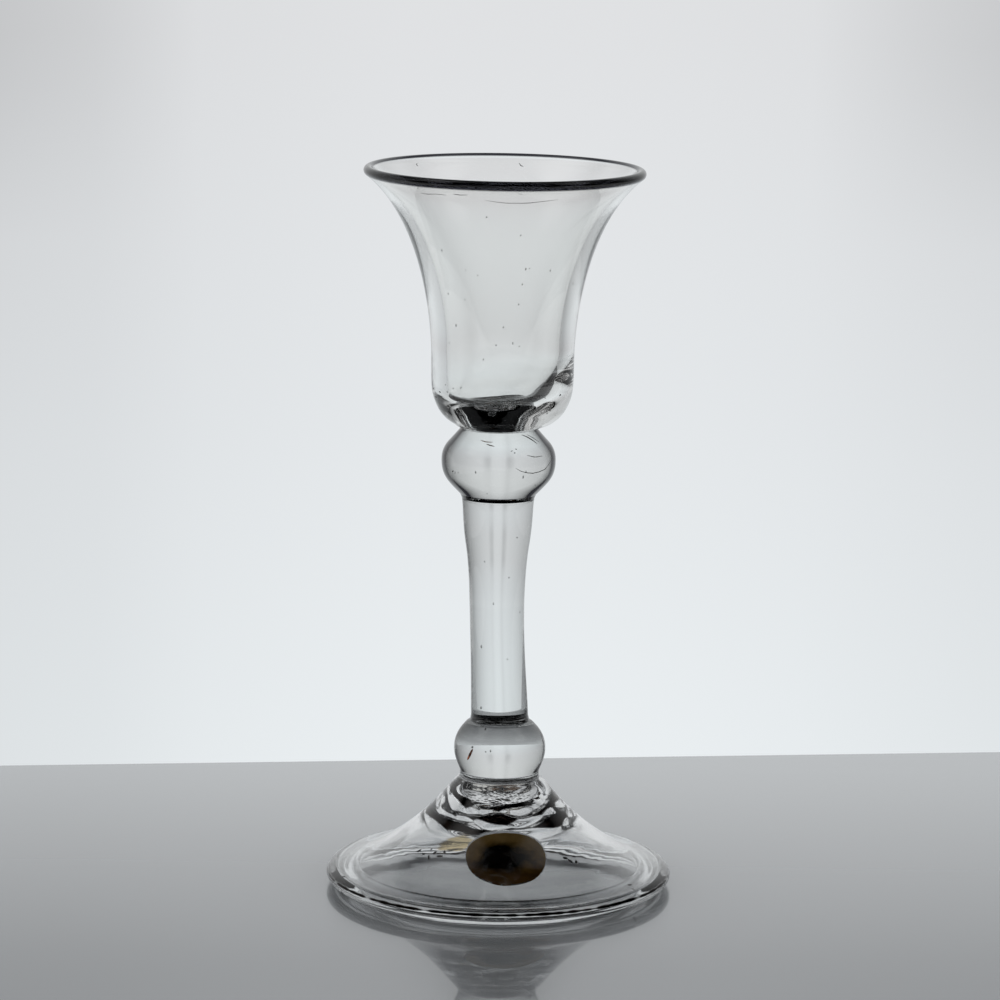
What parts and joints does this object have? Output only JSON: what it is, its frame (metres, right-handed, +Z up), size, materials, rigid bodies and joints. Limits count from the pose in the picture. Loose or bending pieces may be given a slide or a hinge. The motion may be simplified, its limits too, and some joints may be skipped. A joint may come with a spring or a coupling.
{
  "type": "stemmed drinking glass",
  "caption": "Hand-made drinking glass with a thick bell bowl, a knopped stem and a conical foot whose edge is folded back underneath.",
  "frame": {"origin": "middle of the foot at table height", "axes": "+Z up along the stem towards the bowl; -Y faces the picture's camera"},
  "size_m": [0.067, 0.067, 0.1399],
  "materials": {
    "foot_glass": "clear, fire-polished, with faint tool rings",
    "rough_glass": "clear glass, broken and rough",
    "stem_glass": "clear, fire-polished",
    "bowl_glass": "clear, fire-polished, with small seeds",
    "sticker_paper": "thin dark brown paper, matt"
  },
  "bodies": {
    "root": {"foot": "foot_glass", "pontil_mark": "rough_glass", "base_knop": "stem_glass", "stem": "stem_glass", "upper_knop": "stem_glass", "bowl": "bowl_glass", "sticker": "sticker_paper"}
  },
  "joints": []
}
